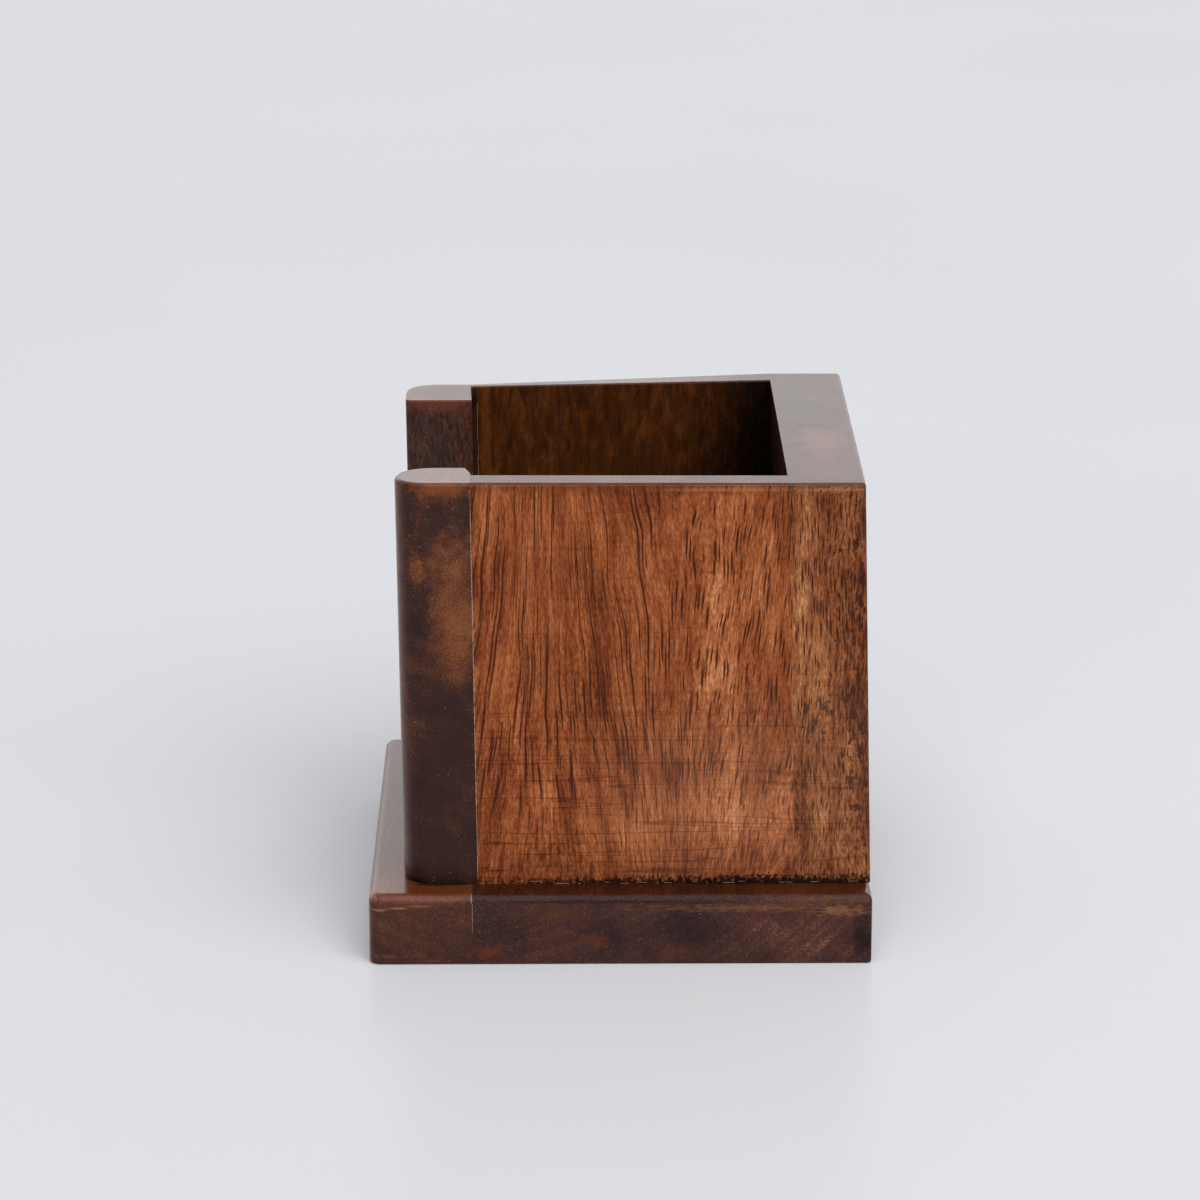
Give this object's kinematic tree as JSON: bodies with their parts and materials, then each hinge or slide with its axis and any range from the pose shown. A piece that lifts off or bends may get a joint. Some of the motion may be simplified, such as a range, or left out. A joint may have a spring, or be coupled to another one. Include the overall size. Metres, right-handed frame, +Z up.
{
  "type": "pen holder",
  "caption": "Open wooden box pen holder with a wide notch in its front, thin side panels between thick front and back boards, standing on a wider base that steps out as a ledge.",
  "frame": {"origin": "centre of the base's underside, on the desk", "axes": "+Z up, the notched front faces -Y, and the right side panel, the one nearest the camera in the picture, is at +X"},
  "size_m": [0.106, 0.103, 0.101],
  "materials": {
    "base_wood": "satin lacquer on dark end grain",
    "front_wood": "satin lacquer on dark end grain",
    "back_wood": "satin lacquer on open-pored wood",
    "panel_wood": "satin lacquer on open-pored wood",
    "dowel_wood": "bare turned beech",
    "dried_glue": "wood glue squeezed out of the joints and dried"
  },
  "bodies": {
    "root": {"base_front_board": "base_wood", "base_rear_board": "base_wood", "front_board": "front_wood", "back_board": "back_wood", "left_side_panel": "panel_wood", "right_side_panel": "panel_wood", "base_joint_dowels": "dowel_wood", "front_board_dowels": "dowel_wood", "back_board_dowels": "dowel_wood", "left_side_dowels": "dowel_wood", "right_side_dowels": "dowel_wood"}
  },
  "joints": []
}
